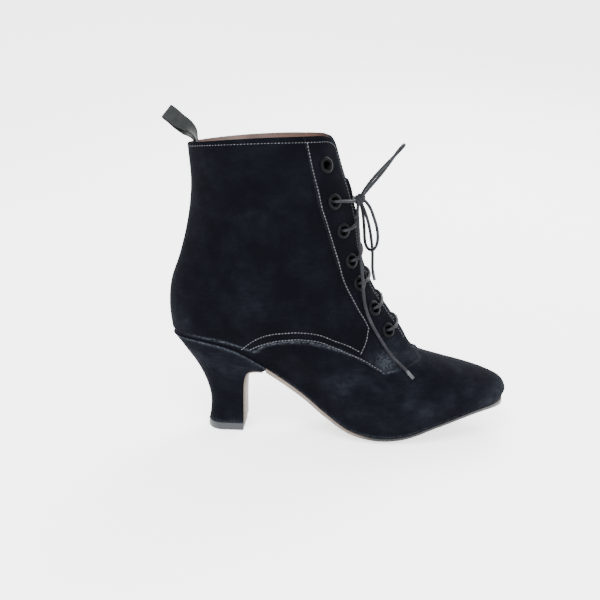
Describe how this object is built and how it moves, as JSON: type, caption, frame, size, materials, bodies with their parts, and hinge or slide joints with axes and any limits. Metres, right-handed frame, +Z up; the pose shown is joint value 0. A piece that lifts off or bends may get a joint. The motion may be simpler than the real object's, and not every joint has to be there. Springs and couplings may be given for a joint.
{
  "type": "victorian lace up ankle boot",
  "caption": "Right-foot velvet ankle boot with lace-up front, curved covered heel, thin leather sole and pull loop.",
  "frame": {"origin": "centre of the heel tip's bottom face, on the floor", "axes": "+X from heel to toe, +Y to the medial side, +Z up"},
  "size_m": [0.2526, 0.0774, 0.236],
  "materials": {
    "velvet": "blue-black cotton velvet, worn along the seams",
    "tongue_cloth": "dark velvet over soft cloth",
    "leather_sole": "scuffed tan and grey sole leather",
    "sock": "brown sock lining",
    "lift_rubber": "dark grey worn rubber",
    "ribbon": "dark grey ribbed ribbon",
    "eyelet_metal": "blackened metal, bright where worn",
    "lace_cord": "round waxed dark cord"
  },
  "bodies": {
    "root": {"upper": "velvet", "outsole": "leather_sole", "insole": "sock", "heel": "velvet", "heel_breast": "leather_sole", "top_lift": "lift_rubber", "tongue": "tongue_cloth", "pull_loop": "ribbon", "eyelet_lateral_1": "eyelet_metal", "eyelet_lateral_2": "eyelet_metal", "eyelet_lateral_3": "eyelet_metal", "eyelet_lateral_4": "eyelet_metal", "eyelet_lateral_5": "eyelet_metal", "eyelet_lateral_6": "eyelet_metal", "eyelet_lateral_7": "eyelet_metal", "eyelet_medial_1": "eyelet_metal", "eyelet_medial_2": "eyelet_metal", "eyelet_medial_3": "eyelet_metal", "eyelet_medial_4": "eyelet_metal", "eyelet_medial_5": "eyelet_metal", "eyelet_medial_6": "eyelet_metal", "eyelet_medial_7": "eyelet_metal", "lace_crossing_3": "lace_cord", "lace_crossing_4": "lace_cord", "lace_crossing_5": "lace_cord", "lace_crossing_6": "lace_cord", "lace_crossing_7": "lace_cord", "lace_top": "lace_cord", "lace_bar": "lace_cord", "lace_knot": "lace_cord", "lace_loop_up": "lace_cord", "lace_loop_down": "lace_cord", "lace_end_near": "lace_cord", "lace_end_far": "lace_cord"}
  },
  "joints": []
}
